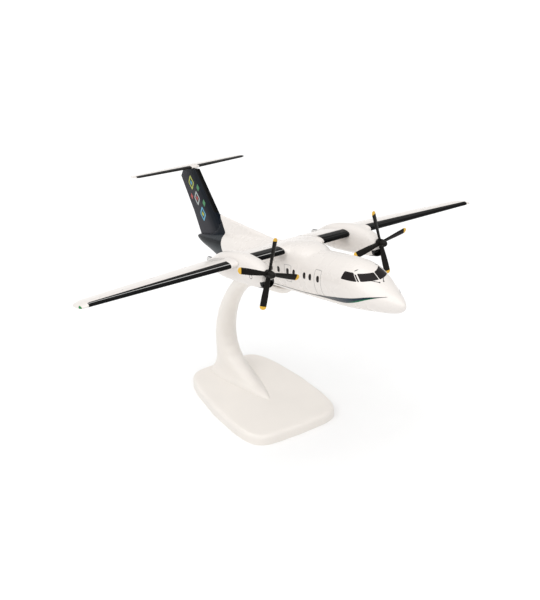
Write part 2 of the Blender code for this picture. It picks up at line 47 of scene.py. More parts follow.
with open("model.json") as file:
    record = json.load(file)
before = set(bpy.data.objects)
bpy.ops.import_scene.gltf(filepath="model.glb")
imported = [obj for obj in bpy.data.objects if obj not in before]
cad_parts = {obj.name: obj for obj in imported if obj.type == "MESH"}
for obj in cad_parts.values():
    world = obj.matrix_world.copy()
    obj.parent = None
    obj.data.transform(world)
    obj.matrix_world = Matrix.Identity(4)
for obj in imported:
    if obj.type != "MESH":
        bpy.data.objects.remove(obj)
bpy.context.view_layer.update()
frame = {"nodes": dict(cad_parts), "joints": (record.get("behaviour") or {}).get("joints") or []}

MM = 0.001
AIRFRAME = "airframe_and_stand"
SIDES = {"starboard": -1, "port": 1}

# The aircraft's own frame in the world
NOSE_DATUM = Vector((0.1387, 0.0, 0.1304))
PITCH = radians(11.65)
AIRCRAFT = Matrix.Translation(NOSE_DATUM) @ Matrix.Rotation(-PITCH, 4, "Y") @ Matrix.Scale(MM, 4)

# Vertices nearer than this are one, in metres
MERGE_DISTANCE = 0.000002

# Prints stand this far out of the moulding
PRINT_RELIEF = 0.05
LINE_RELIEF = 0.03
STRIPE_RELIEF = 0.08
TAIL_RELIEF = 0.03
# Drawings are cut this finely to follow the moulding, and are laid on from this far out
PRINT_CUT = 0.8
FIN_PRINT_CUT = 1.6
SIDE_DISTANCE = 60.0
FRONT_DISTANCE = 20.0
FIN_DISTANCE = 12.0
GLASS_GLOSS = 0.07

# Mouldings are evened out: size of the cells, rounds of smoothing
HULL_EVENING = (0.55, 16)
NACELLE_EVENING = (0.4, 8)
ARM_EVENING = (0.6, 8)
# The arm's foot, up to this height, is sunk this far into the base
FOOT_BAND = 0.2
FOOT_SINK = 1.0

# The fin stands in a slot of the hull, which is filled up to the line of the tail's crown
FIN_SLOT_FILL = ((-169.6, 12.0), (-209.4, 6.6))
# The wing passes through the nacelle between these distances from the centreline
WING_SLOT_SPAN = (27.0, 46.5)
SLOT_FILL = 0.45
# Its inner panels end at this distance, give or take the band, before they reach into the hull
WING_ROOT_Y = 13.2
WING_ROOT_BAND = 0.05

# The navy print of the tail starts at this line in the side view: x = a + b z + c z z
TAIL_BORDER = (-156.2, -1.36, 0.0165)
# It is cut as straight stretches between these heights, once all that lies this far ahead is gone
TAIL_BORDER_HEIGHTS = (-12.0, -4.0, 0.0, 4.0, 8.0, 12.0, 16.0, 20.0, 26.0)
TAIL_CUT_AHEAD = 8.0

# Propeller blade from the hub out: radius, chord, pitch in degrees, thickness
BLADE_SECTIONS = (
    (0.8, 2.3, 38.0, 1.4), (4.0, 2.6, 34.0, 1.2), (8.0, 3.15, 28.0, 1.0), (12.5, 3.55, 23.0, 0.85),
    (17.2, 3.6, 20.0, 0.72), (17.9, 3.4, 20.0, 0.68), (18.4, 2.85, 20.0, 0.62), (18.7, 2.15, 20.0, 0.54),
    (18.9, 1.3, 20.0, 0.44), (18.98, 0.6, 20.0, 0.3),
)
BLADE_COUNT = 4
BLADE_SIDES = 18
# Angle of the first blade from upright, in radians
BLADE_PHASE = {"starboard": -0.341, "port": 0.187}
# Hub and shaft: axial place, radius
HUB_PROFILE = ((1.25, 2.25), (-1.5, 2.25), (-1.5, 0.8), (-4.0, 0.8))

# Cabin windows: rounded upright slots, at these stations along both sides
WINDOW_STATIONS = (
    -55.6, -62.8, -68.2, -78.5, -84.6, -93.8, -101.2, -109.4, -117.2, -125.0, -132.8, -140.6,
)
WINDOW_Z = 2.5

# Cockpit panes as outlines in the side view (x, z)
SIDE_PANE = ((-35.4, 9.1), (-29.9, 8.7), (-25.6, 5.0), (-36.2, 5.6))
POST_STRIP = ((-28.9, 8.1), (-28.0, 7.9), (-24.5, 5.0), (-25.2, 5.0))
# Windscreen panes as outlines in the front view (distance from the centreline, z)
WINDSCREEN = {
    "starboard": ((7.5, 8.3), (0.25, 7.9), (0.25, 4.8), (8.7, 5.0)),
    "port": ((6.4, 9.2), (0.25, 8.0), (0.25, 4.7), (8.2, 5.3)),
}

# Wipers in the front view: foot (distance from the centreline, z), ends of the arms
WIPER_FOOT = (1.3, 3.75)
WIPER_FOOT_RADII = (0.42, 0.21)
WIPER_FOOT_RELIEF = 0.12
WIPER_REACH = {"starboard": (5.2, 5.3), "port": (3.8, 5.5)}
WIPER_ARM_WIDTH = 0.22
WIPER_ARM_RELIEF = 0.09

# Doors and exits: rounded outlines in the side view, x from and to, z from and to
FRONT_DOOR = (-59.0, -52.9, -7.0, 7.2)
MID_EXIT = (-87.4, -81.2, -3.4, 6.4)
OUTLINE_ROUNDING = 1.1
OUTLINE_WIDTH = 0.28

# Nose stripe in the side view: x, upper edge, lower edge
NOSE_STRIPE = (
    (-9.4, -1.55, -1.65), (-13.7, -1.6, -2.05), (-18.8, -1.9, -3.2), (-25.3, -2.9, -5.1),
    (-31.9, -3.9, -6.7), (-37.4, -4.6, -7.5), (-45.5, -5.6, -7.8), (-53.4, -6.6, -7.9),
    (-60.0, -7.3, -8.1), (-66.2, -7.8, -8.4), (-78.6, -8.3, -8.75), (-95.0, -8.3, -8.7),
    (-112.0, -8.2, -8.6), (-130.0, -7.9, -8.2), (-142.0, -7.3, -7.55),
)
STRIPE_CELLS = (70, 4)

# The wings' leading edge in plan, straight across as far as the bend and then swept, and the tailplane's
WING_EDGE_X = -84.7
WING_BEND_Y = 37.0
WING_SWEEP = 3.9 / 88.0
TAIL_EDGE_X = -203.3
TAIL_SWEEP = 3.4 / 34.5
TAIL_BOOT_DEPTH = 3.4
# De-icing boots: span from and to, the x of their rear edge, and the tail boots' sweep
INNER_BOOT = ((13.0, 34.0), -91.9)
OUTER_BOOT = {"starboard": ((46.9, 126.1), -90.5), "port": ((46.9, 125.3), -90.5)}
TAIL_BOOT = ((2.7, 39.3), TAIL_EDGE_X - TAIL_BOOT_DEPTH, TAIL_SWEEP)

TIP_LIGHT_SPAN = (129.3, 130.0)
TIP_LIGHT_REAR_X = -93.4
TIP_LIGHT_COLOUR = {"starboard": (0.02, 0.20, 0.05), "port": (0.30, 0.02, 0.015)}

# Ring on the nacelle's side: centre (x, z), width, height, width of its line
NACELLE_RING = ((-73.9, 8.2), 2.4, 2.42, 0.25)
# Sensor mark above the cockpit, as an outline in the side view
ROOF_MARK = ((-30.3, 9.3), (-29.5, 9.3), (-28.9, 9.9), (-29.7, 9.9))
SMALL_MARK_GREY = (0.10, 0.10, 0.10)

# Fin design: lozenges one above another, as centre (x, z), width, height, line colour, heart colour
FIN_LOZENGES = (
    ((-211.6, 41.0), 8.6, 10.4, "lime_yellow", "sky_blue"),
    ((-206.2, 31.0), 8.6, 10.4, "pale_grey", "brick_red"),
    ((-200.8, 21.0), 8.6, 10.4, "sky_blue", "lime_yellow"),
    ((-202.6, 38.2), 4.2, 5.2, "grass_green", None),
    ((-214.2, 31.6), 3.6, 4.6, "brick_red", None),
    ((-196.8, 28.6), 4.2, 5.2, "grass_green", None),
)
LOZENGE_STROKE = 1.15
LOZENGE_ROUNDING = 0.12
HEART_SHARE = 0.34
INK_COLOURS = {
    "sky_blue": (0.09, 0.36, 0.52),
    "grass_green": (0.03, 0.20, 0.07),
    "lime_yellow": (0.42, 0.48, 0.05),
    "pale_grey": (0.40, 0.43, 0.42),
    "brick_red": (0.42, 0.035, 0.03),
}


def colour_setting(name, description, default):
    return FloatVectorProperty(name=name, description=description, subtype="COLOR", size=3,
                               min=0.0, max=1.0, default=default)


def length_setting(name, description, low, high, default):
    return FloatProperty(name=name, description=description, subtype="DISTANCE", unit="LENGTH",
                         min=low, max=high, default=default)


class DeskModelFinish(bpy.types.PropertyGroup):
    """Colours and sizes of the printed and moulded finishes."""

    white: colour_setting("White", "Moulded white plastic of the airframe", (0.776, 0.733, 0.695))
    stand: colour_setting("Stand", "Off-white plastic of the stand", (0.825, 0.782, 0.733))
    navy: colour_setting("Navy", "Navy print of the tail", (0.003, 0.006, 0.011))
    # Painted sheen: the slate stands in for the reflection that lightens the glossy navy fin aft
    slate: colour_setting("Slate", "Slate grey that the navy lightens to", (0.036, 0.036, 0.043))
    stripe: colour_setting("Stripe", "Blue-grey body of the nose stripe", (0.030, 0.046, 0.065))
    green: colour_setting("Stripe green", "Lower edge of the nose stripe", (0.018, 0.20, 0.085))
    black: colour_setting("Black", "Black of propellers, tail boots and wipers", (0.010, 0.009, 0.008))
    yellow: colour_setting("Yellow", "Blade tips", (0.70, 0.42, 0.06))
    glass: colour_setting("Window print", "Dark print of the windows", (0.018, 0.015, 0.015))
    outline: colour_setting("Outline grey", "Thin printed outlines of doors and exits", (0.34, 0.33, 0.32))
    window_width: length_setting("Window width", "Width of a cabin window", 0.0005, 0.005, 0.0025)
    window_height: length_setting("Window height", "Height of a cabin window", 0.0005, 0.008, 0.0035)
    blade_radius: length_setting(
        "Blade radius", "Distance of a blade's end from the propeller's axis", 0.005, 0.05, 0.019)
    tip_length: length_setting(
        "Tip length", "Length of the yellow band at each blade tip", 0.0005, 0.006, 0.0018)


class DeskModelStage(bpy.types.PropertyGroup):
    """Camera, light and floor."""

    lens: FloatProperty(
        name="Focal length", description="Focal length of the camera",
        subtype="DISTANCE_CAMERA", unit="CAMERA", min=10.0, max=300.0, default=55.75)
    floor: colour_setting("Floor", "Colour of the floor", (0.91, 0.91, 0.91))
    room: FloatProperty(
        name="Room light", description="Strength of the even light from all around",
        min=0.0, max=10.0, default=0.56)
    softbox: FloatProperty(
        name="Softbox", description="Strength of the wide overhead light",
        min=0.0, max=20.0, default=2.3)
    softbox_width: FloatProperty(
        name="Softbox width", description="Angle that the overhead light fills",
        subtype="ANGLE", unit="ROTATION", min=0.1, max=pi, default=radians(90.0))


# Materials

# Grain of a surface: scale of its noise, height in metres
MOULD_GRAIN = (2600.0, 0.000006)
TAIL_GRAIN = (2600.0, 0.00001)
COARSE_GRAIN = (2600.0, 0.00002)
INK_GRAIN = (5200.0, 0.00001)
THIN_INK_GRAIN = (5200.0, 0.000005)
BLADE_GRAIN = (1800.0, 0.00003)
GRAIN_STRENGTH = 0.2
DRIFT_SCALE = 90.0
TONE_SCALE = 35.0
WHITE_TONE = 0.015

PLASTIC_IOR = 1.49
INK_IOR = 1.5
COAT_ROUGHNESS = 0.12
# The navy and black prints show hardly any gloss in white surroundings
DULL_GLOSS = 0.03
DEEP_BLACK = (0.002, 0.002, 0.002)
SOFT_BLACK = (0.004, 0.004, 0.004)


class Paint:
    """A new material and the nodes that make its finish."""

    def __init__(self, name):
        self.material = bpy.data.materials.new(name)
        self.material.use_nodes = True
        self.tree = self.material.node_tree
        self.inputs = self.tree.nodes["Principled BSDF"].inputs

    def node(self, kind, **settings):
        node = self.tree.nodes.new("ShaderNode" + kind)
        for key, value in settings.items():
            setattr(node, key, value)
        return node

    def feed(self, socket, value):
        """Gives a socket another node's output, a number or a colour."""
        if isinstance(value, bpy.types.NodeSocket):
            self.tree.links.new(value, socket)
        elif isinstance(value, float):
            socket.default_value = value
        else:
            socket.default_value = (*value, 1.0)

    def place(self):
        return self.node("TexCoord").outputs["Object"]

    def split(self, vector):
        node = self.node("SeparateXYZ")
        self.feed(node.inputs[0], vector)
        return node.outputs

    def aircraft_axes(self):
        """A point's x, y and z in the aircraft's own frame, in millimetres."""
        mapping = self.node("Mapping", vector_type="TEXTURE")
        mapping.inputs["Location"].default_value = NOSE_DATUM
        mapping.inputs["Rotation"].default_value = (0.0, -PITCH, 0.0)
        mapping.inputs["Scale"].default_value = (MM, MM, MM)
        self.feed(mapping.inputs["Vector"], self.place())
        return self.split(mapping.outputs["Vector"])

    def maths(self, operation, *values):
        node = self.node("Math", operation=operation)
        for socket, value in zip(node.inputs, values):
            self.feed(socket, value)
        return node.outputs[0]

    def over(self, value, limit):
        return self.maths("GREATER_THAN", value, limit)

    def under(self, value, limit):
        return self.maths("LESS_THAN", value, limit)

    def both(self, first, second):
        return self.maths("MULTIPLY", first, second)

    def between(self, value, low, high):
        return self.both(self.over(value, low), self.under(value, high))

    def line(self, value, slope, start):
        """The place of a straight line at a value."""
        return self.maths("MULTIPLY_ADD", value, slope, start)

    def mix(self, share, first, second):
        node = self.node("Mix", data_type="RGBA")
        for name, value in (("Factor", share), ("A", first), ("B", second)):
            self.feed(next(s for s in node.inputs if s.name == name and s.enabled), value)
        return next(s for s in node.outputs if s.enabled)

    def noise(self, scale, detail):
        node = self.node("TexNoise")
        node.inputs["Scale"].default_value = scale
        node.inputs["Detail"].default_value = detail
        self.feed(node.inputs["Vector"], self.place())
        return node.outputs["Fac"]

    def ramp(self, value, low, high, to_low=0.0, to_high=1.0):
        node = self.node("MapRange")
        numbers = (value, low, high, to_low, to_high)
        for name, number in zip(("Value", "From Min", "From Max", "To Min", "To Max"), numbers):
            self.feed(node.inputs[name], number)
        return node.outputs["Result"]

    def toned(self, colour, spread):
        """A colour that varies a little in brightness over the piece."""
        darker = [channel * (1.0 - spread) for channel in colour]
        lighter = [min(channel * (1.0 + spread), 1.0) for channel in colour]
        return self.mix(self.ramp(self.noise(TONE_SCALE, 3.0), 0.35, 0.65), darker, lighter)

    def finish(self, colour, roughness, spread, grain, gloss=0.5, ior=INK_IOR, coat=0.0):
        """Colour, roughness that drifts from place to place, the ripple of the surface, and gloss."""
        inputs = self.inputs
        self.feed(inputs["Base Color"], colour)
        drift = self.noise(DRIFT_SCALE, 4.0)
        self.feed(inputs["Roughness"], self.ramp(drift, 0.3, 0.7, roughness - spread, roughness + spread))
        scale, height = grain
        bump = self.node("Bump")
        bump.inputs["Strength"].default_value = GRAIN_STRENGTH
        bump.inputs["Distance"].default_value = height
        self.feed(bump.inputs["Height"], self.noise(scale, 2.0))
        self.feed(inputs["Normal"], bump.outputs["Normal"])
        inputs["Specular IOR Level"].default_value = gloss
        inputs["IOR"].default_value = ior
        if coat:
            inputs["Coat Weight"].default_value = coat
            inputs["Coat Roughness"].default_value = COAT_ROUGHNESS
        return self.material


def moulded_plastic(name, colour, roughness, coat=0.0, gloss=0.4):
    paint = Paint(name)
    tone = paint.toned(colour, WHITE_TONE)
    return paint.finish(tone, roughness=roughness, spread=0.04,
                        grain=MOULD_GRAIN, gloss=gloss, ior=PLASTIC_IOR, coat=coat)


def printed_ink(name, colour, roughness=0.28, gloss=0.14):
    """Pad-printed ink: even, with a faint dot grain."""
    paint = Paint(name)
    return paint.finish(paint.toned(colour, 0.06), roughness=roughness, spread=0.05,
                        grain=INK_GRAIN, gloss=gloss)


# Leading edge of the fin in the side view, as x = start + slope z
FIN_EDGE_START = -164.64
FIN_EDGE_SLOPE = -0.674
# The navy turns to slate between these distances behind it: a painted sheen in place of the reflection on
# the glossy fin
FIN_SHEEN_FADE = (9.0, 23.0)
# The fin's boot and its pale rear line end this far behind the leading edge, above this height
FIN_BOOT_END = 4.4
FIN_BOOT_LINE_END = 4.7
FIN_BOOT_FOOT_Z = 23.6
FIN_BOOT_BLACK = (0.003, 0.003, 0.003)
FIN_BOOT_LINE = (0.03, 0.03, 0.034)


def behind_fin_edge(paint, x, z):
    """How far a point lies behind the line of the fin's leading edge."""
    return paint.maths("SUBTRACT", paint.line(z, FIN_EDGE_SLOPE, FIN_EDGE_START), x)


def fin_navy_and_painted_sheen(paint, behind, finish):
    """Navy near the fin's front edge that lightens to slate aft, the lightening a painted sheen."""
    fade = paint.ramp(behind, *FIN_SHEEN_FADE)
    fade.node.interpolation_type = "SMOOTHSTEP"
    return paint.mix(fade, finish.navy, finish.slate)


def fin_material(finish):
    """Navy print that lightens to slate aft as a painted sheen, with a black boot and its thin pale rear
    line.
    """
    paint = Paint("navy_fin_painted_sheen")
    x, _, z = paint.aircraft_axes()
    behind = behind_fin_edge(paint, x, z)
    high = paint.over(z, FIN_BOOT_FOOT_Z)
    boot = paint.both(paint.under(behind, FIN_BOOT_END), high)
    line = paint.both(paint.under(behind, FIN_BOOT_LINE_END), high)
    edged = paint.mix(line, fin_navy_and_painted_sheen(paint, behind, finish), FIN_BOOT_LINE)
    return paint.finish(paint.mix(boot, edged, FIN_BOOT_BLACK), roughness=0.34, spread=0.05,
                        grain=COARSE_GRAIN, gloss=DULL_GLOSS)


# Hollow below the crown of the tail cone, in the side view as z = start + slope x
TAIL_HOLLOW_START = 16.7
TAIL_HOLLOW_SLOPE = 0.0525
# Heights above the hollow between which the tones of the cone change: a lighter lower side as painted
# reflection, the darkest hollow as painted shade, a lighter crown as painted highlight
TAIL_LOWER_FADE = (-4.6, -0.9)
TAIL_UPPER_FADE = (0.2, 1.1)
# Slate tones of the cone that stand in for light: painted reflection of the floor low down, painted shade
# in the hollow, painted highlight on the crown
TAIL_LOWER_PAINTED_REFLECTION = (0.046, 0.054, 0.058)
TAIL_HOLLOW_PAINTED_SHADE = (0.006, 0.008, 0.010)
TAIL_CROWN_PAINTED_HIGHLIGHT = (0.036, 0.041, 0.046)
# The fin's tones begin where z + slope x passes from the first to the second of these
CROWN_SLOPE = -0.1357
CROWN_FADE = (34.2, 34.7)


def tail_material(finish):
    """Navy print of the tail: slate on the cone, with painted reflection low down, painted shade darkest
    in its hollow and a painted highlight on its crown, as the fin at the fin's foot.
    """
    paint = Paint("navy_tail_print_painted_shade")
    x, _, z = paint.aircraft_axes()
    above = paint.maths("SUBTRACT", z, paint.line(x, TAIL_HOLLOW_SLOPE, TAIL_HOLLOW_START))
    lower = paint.mix(paint.ramp(above, *TAIL_LOWER_FADE), TAIL_LOWER_PAINTED_REFLECTION, TAIL_HOLLOW_PAINTED_SHADE)
    cone = paint.mix(paint.ramp(above, *TAIL_UPPER_FADE), lower, TAIL_CROWN_PAINTED_HIGHLIGHT)
    fin = fin_navy_and_painted_sheen(paint, behind_fin_edge(paint, x, z), finish)
    crown = paint.ramp(paint.line(x, CROWN_SLOPE, z), *CROWN_FADE)
    return paint.finish(paint.mix(crown, cone, fin), roughness=0.3, spread=0.04,
                        grain=TAIL_GRAIN, gloss=DULL_GLOSS)


# Height of the wings' leading edge at the centreline, and its fall towards the tip
CREST_Z = 13.75
CREST_SLOPE = -0.0165
# A boot's upper side lightens between these distances behind the leading edge, a painted sheen in place of
# its reflection
BOOT_SHEEN_FADE = (1.2, 4.5)
# Its pale line, a painted glint along the crest, lies between these
BOOT_GLINT_BAND = (0.85, 1.2)
BOOT_SHEEN_FRONT = (0.008, 0.008, 0.008)
BOOT_SHEEN_REAR = (0.026, 0.025, 0.024)
# Painted glint: bright on the starboard boots, faint on the port ones
BOOT_GLINT_COLOUR = {"starboard": (0.45, 0.45, 0.44), "port": (0.03, 0.03, 0.029)}


def boot_material(name, span, leading_edges, glint_colour):
    """Black boot, dark grey above as a painted sheen, with a thin pale painted glint along the crest of
    the leading edge.
    """
    paint = Paint(name)
    x, y, z = paint.aircraft_axes()
    slope = (leading_edges[1] - leading_edges[0]) / (span[1] - span[0])
    out = paint.maths("ABSOLUTE", y)
    behind = paint.maths("SUBTRACT", paint.line(out, slope, leading_edges[0] - slope * span[0]), x)
    above = paint.over(z, paint.line(out, CREST_SLOPE, CREST_Z))
    upper = paint.mix(paint.ramp(behind, *BOOT_SHEEN_FADE), BOOT_SHEEN_FRONT, BOOT_SHEEN_REAR)
    line = paint.both(paint.between(behind, *BOOT_GLINT_BAND), above)
    colour = paint.mix(line, paint.mix(above, DEEP_BLACK, upper), glint_colour)
    return paint.finish(colour, roughness=0.33, spread=0.05, grain=THIN_INK_GRAIN, gloss=DULL_GLOSS)


# Tones of the nose stripe from its front (0) to its rear end (1)
STRIPE_FRONT = (0.012, 0.014, 0.020)
STRIPE_REAR = (0.10, 0.105, 0.11)
STRIPE_TONES = ((0.10, (0.004, 0.012, 0.020)), (0.20, (0.012, 0.028, 0.042)), (0.5, (0.085, 0.09, 0.095)))
STRIPE_BODY_AT = 0.30
# The green comes in and goes out between these shares of the length, and fills this share of the height
GREEN_START = (0.04, 0.10)
GREEN_END = (0.20, 0.30)
GREEN_HEIGHT = 0.5


def stripe_material(finish):
    """Blue-grey stripe that darkens to the nose and turns green at its lower edge, on its UV map."""
    paint = Paint("stripe_ink")
    along, up, _ = paint.split(paint.node("UVMap").outputs["UV"])
    body = paint.node("ValToRGB")
    stops = body.color_ramp.elements
    stops[0].color = (*STRIPE_FRONT, 1.0)
    stops[1].color = (*STRIPE_REAR, 1.0)
    for position, colour in (*STRIPE_TONES, (STRIPE_BODY_AT, finish.stripe)):
        stops.new(position).color = (*colour, 1.0)
    paint.feed(body.inputs["Fac"], along)
    length = paint.both(paint.ramp(along, *GREEN_START), paint.ramp(along, *GREEN_END, 1.0, 0.0))
    green = paint.both(length, paint.ramp(up, 0.0, GREEN_HEIGHT, 1.0, 0.0))
    colour = paint.mix(green, body.outputs["Color"], finish.green)
    return paint.finish(colour, roughness=0.28, spread=0.05, grain=THIN_INK_GRAIN, gloss=0.12)


# The intake is black ahead of and below its lip, and inside its mouth: x, z, half width
NACELLE_Y = 36.8
LIP_X = -67.5
LIP_Z = 6.0
MOUTH_X = -71.2
MOUTH_Z = (2.2, 5.9)
MOUTH_HALF_WIDTH = 3.7


def nacelle_material(finish):
    """White plastic with a black intake: its lip and the whole inside of the mouth."""
    paint = Paint("white_nacelle_black_intake")
    x, y, z = paint.aircraft_axes()
    lip = paint.both(paint.over(x, LIP_X), paint.under(z, LIP_Z))
    across = paint.maths("SUBTRACT", paint.maths("ABSOLUTE", y), NACELLE_Y)
    narrow = paint.under(paint.maths("ABSOLUTE", across), MOUTH_HALF_WIDTH)
    deep = paint.both(paint.over(x, MOUTH_X), paint.between(z, *MOUTH_Z))
    black = paint.maths("MAXIMUM", lip, paint.both(deep, narrow))
    colour = paint.mix(black, paint.toned(finish.white, WHITE_TONE), SOFT_BLACK)
    return paint.finish(colour, roughness=0.30, spread=0.04,
                        grain=MOULD_GRAIN, gloss=0.4, ior=PLASTIC_IOR, coat=0.12)


# Exhaust stub: height of its axis, half height of its mouth, dark line at its top, and its rear end; the
# line and the mouth are painted shade of the open duct
EXHAUST_Z = 9.0
EXHAUST_MOUTH = 0.95
EXHAUST_TOP_Z = 10.2
EXHAUST_REAR_X = -130.4
EXHAUST_GREY = (0.60, 0.59, 0.575)
EXHAUST_PAINTED_SHADE = (0.12, 0.12, 0.12)


def exhaust_material():
    """Light grey stub with a dark line along its top and a dark mouth, both painted shade where the duct
    opens.
    """
    paint = Paint("grey_exhaust_painted_shade_mouth")
    x, _, z = paint.aircraft_axes()
    off_axis = paint.maths("ABSOLUTE", paint.maths("SUBTRACT", z, EXHAUST_Z))
    mouth = paint.both(paint.under(x, EXHAUST_REAR_X), paint.under(off_axis, EXHAUST_MOUTH))
    # Painted shade: dark where the duct's opening would be in shade
    dark = paint.maths("MAXIMUM", paint.over(z, EXHAUST_TOP_Z), mouth)
    colour = paint.mix(dark, paint.toned(EXHAUST_GREY, 0.03), EXHAUST_PAINTED_SHADE)
    return paint.finish(colour, roughness=0.34, spread=0.04, grain=COARSE_GRAIN)


def blade_material(finish, centre):
    """Black blades with a yellow band at the tips, measured from the hub."""
    paint = Paint("black_blades_yellow_tips")
    offset = paint.node("VectorMath", operation="DISTANCE")
    paint.feed(offset.inputs[0], paint.place())
    offset.inputs[1].default_value = centre
    tip = paint.over(offset.outputs["Value"], finish.blade_radius - finish.tip_length)
    colour = paint.mix(tip, paint.toned(finish.black, 0.15), finish.yellow)
    return paint.finish(colour, roughness=0.36, spread=0.06, grain=BLADE_GRAIN, gloss=0.09)


# Modelling helpers

def start_clean(active=None):
    if bpy.context.object and bpy.context.object.mode != "OBJECT":
        bpy.ops.object.mode_set(mode="OBJECT")
    bpy.ops.object.select_all(action="DESELECT")
    if active:
        bpy.context.view_layer.objects.active = active
        active.select_set(True)


def edit(piece):
    start_clean(piece)
    bpy.ops.object.mode_set(mode="EDIT")
    bpy.ops.mesh.select_all(action="SELECT")


def finish_edit():
    bpy.ops.object.mode_set(mode="OBJECT")


def pick(piece, chosen):
    """In edit mode, selects the vertices that pass a test and nothing else."""
    mesh = bmesh.from_edit_mesh(piece.data)
    bpy.ops.mesh.select_all(action="DESELECT")
    for vertex in mesh.verts:
        vertex.select = chosen(vertex)
    mesh.select_flush(True)
    bmesh.update_edit_mesh(piece.data)


def use_modifier(piece, kind, **settings):
    start_clean(piece)
    modifier = piece.modifiers.new(kind.lower(), kind)
    for key, value in settings.items():
        setattr(modifier, key, value)
    bpy.ops.object.modifier_apply(modifier=modifier.name)


def swell(piece, distance):
    """Moves a closed shell's skin outwards, by millimetres."""
    use_modifier(piece, "DISPLACE", strength=distance * MM, mid_level=0.0)


def thicken(piece, thickness):
    """Gives a skin this thickness, in millimetres, half of it to each side."""
    use_modifier(piece, "SOLIDIFY", thickness=thickness * MM, offset=0.0, use_even_offset=True)


def even_shell(piece, cell, rounds):
    """Turns overlapping shells into one even, softly rounded moulding."""
    use_modifier(piece, "REMESH", mode="VOXEL", voxel_size=cell * MM, use_smooth_shade=True)
    use_modifier(piece, "SMOOTH", factor=0.5, iterations=rounds)


def apply_place(piece):
    start_clean(piece)
    bpy.ops.object.transform_apply(location=True, rotation=True, scale=True)


def merge_and_face_out(piece):
    edit(piece)
    bpy.ops.mesh.remove_doubles(threshold=MERGE_DISTANCE)
    bpy.ops.mesh.normals_make_consistent(inside=False)
    finish_edit()


def smooth_by_angle(piece, angle=40.0):
    start_clean(piece)
    bpy.ops.object.shade_smooth_by_angle(angle=radians(angle))


def smooth_by_area(piece):
    """Smooths a moulding of long narrow faces without streaks: large faces lead the shading."""
    smooth_by_angle(piece, 35.0)
    use_modifier(piece, "WEIGHTED_NORMAL", mode="FACE_AREA", weight=100, keep_sharp=True)


def own_copy(source, name):
    """A new piece with its own copy of another piece's mesh."""
    piece = bpy.data.objects.new(name, source.data.copy())
    piece.data.name = name
    bpy.context.scene.collection.objects.link(piece)
    return piece


def copy_of(node, name):
    """A merged copy of a CAD node's mesh, as a new piece."""
    piece = own_copy(frame["nodes"][node], name)
    piece.data.materials.clear()
    merge_and_face_out(piece)
    return piece


def take_primitive(name):
    """Names the primitive that was just added."""
    piece = bpy.context.object
    piece.name = piece.data.name = name
    return piece


def to_world(direction):
    """A direction of the aircraft's frame as a unit vector of the world's."""
    return (AIRCRAFT.to_3x3() @ Vector(direction)).normalized()


def keep_side(piece, point, normal, fill=False):
    """Cuts a piece by a plane in the aircraft's frame and drops the side its normal points to."""
    edit(piece)
    bpy.ops.mesh.bisect(plane_co=AIRCRAFT @ Vector(point), plane_no=to_world(normal),
                        clear_outer=True, clear_inner=False, use_fill=fill)
    finish_edit()


def keep_span(piece, side, span, fill=False):
    keep_side(piece, (0.0, side * span[0], 0.0), (0.0, -side, 0.0), fill)
    keep_side(piece, (0.0, side * span[1], 0.0), (0.0, side, 0.0), fill)


def join(name, pieces):
    start_clean(pieces[0])
    for piece in pieces:
        piece.select_set(True)
    bpy.ops.object.join()
    pieces[0].name = pieces[0].data.name = name
    return pieces[0]


def dress(piece, material):
    piece.data.materials.clear()
    piece.data.materials.append(material)


def finish_piece(piece, material, body=AIRFRAME):
    dress(piece, material)
    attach(piece, body)


def draw_corners(name, corners, plane, rounding=0.0):
    """A flat face with these corners in the side view (x, z) or the front view (y, z).

    It starts as a circle with as many vertices, each of which is moved to its place.
    """
    start_clean()
    bpy.ops.mesh.primitive_circle_add(vertices=len(corners), radius=1.0, fill_type="NGON")
    piece = take_primitive(name)
    edit(piece)
    for i, (across, height) in enumerate(corners):
        pick(piece, lambda vertex: vertex.index == i)
        mesh = bmesh.from_edit_mesh(piece.data)
        mesh.verts.ensure_lookup_table()
        corner = Vector((0.0, across, height) if plane == "front" else (across, 0.0, height))
        bpy.ops.transform.translate(value=corner - mesh.verts[i].co)
    if rounding:
        bpy.ops.mesh.select_all(action="SELECT")
        bpy.ops.mesh.bevel(offset=rounding, affect="VERTICES", segments=4)
    finish_edit()
    return piece


def draw_slot(name, centre, width, height, corners=16):
    """An upright slot with round ends in the side view: a circle pulled apart at its middle."""
    start_clean()
    bpy.ops.mesh.primitive_circle_add(vertices=corners, radius=width / 2, fill_type="NGON",
                                      location=(centre[0], 0.0, centre[1]),
                                      rotation=(radians(90.0), 0.0, 0.0))
    piece = take_primitive(name)
    apply_place(piece)
    edit(piece)
    for way in (-1, 1):
        pick(piece, lambda vertex: way * (vertex.co.z - centre[1]) > width * 0.05)
        bpy.ops.transform.translate(value=(0.0, 0.0, way * (height - width) / 2))
    finish_edit()
    return piece


def hollow_out(piece, line_width):
    """Leaves only a line of this width along a face's edge."""
    edit(piece)
    bpy.ops.mesh.inset(thickness=line_width, depth=0.0)
    bpy.ops.mesh.delete(type="FACE")
    finish_edit()


def cut_into_strips(piece, plane, step=PRINT_CUT):
    """Cuts a flat drawing by upright and level planes, so that it can bend round a moulding."""
    edit(piece)
    mesh = bmesh.from_edit_mesh(piece.data)
    for axis in (1 if plane == "front" else 0, 2):
        values = [vertex.co[axis] for vertex in mesh.verts]
        low, high = min(values), max(values)
        cuts = int((high - low) / step)
        for i in range(1, cuts + 1):
            point, normal = [0.0, 0.0, 0.0], [0.0, 0.0, 0.0]
            point[axis] = low + (high - low) * i / (cuts + 1)
            normal[axis] = 1.0
            bpy.ops.mesh.select_all(action="SELECT")
            bpy.ops.mesh.bisect(plane_co=point, plane_no=normal)
            mesh = bmesh.from_edit_mesh(piece.data)
    finish_edit()


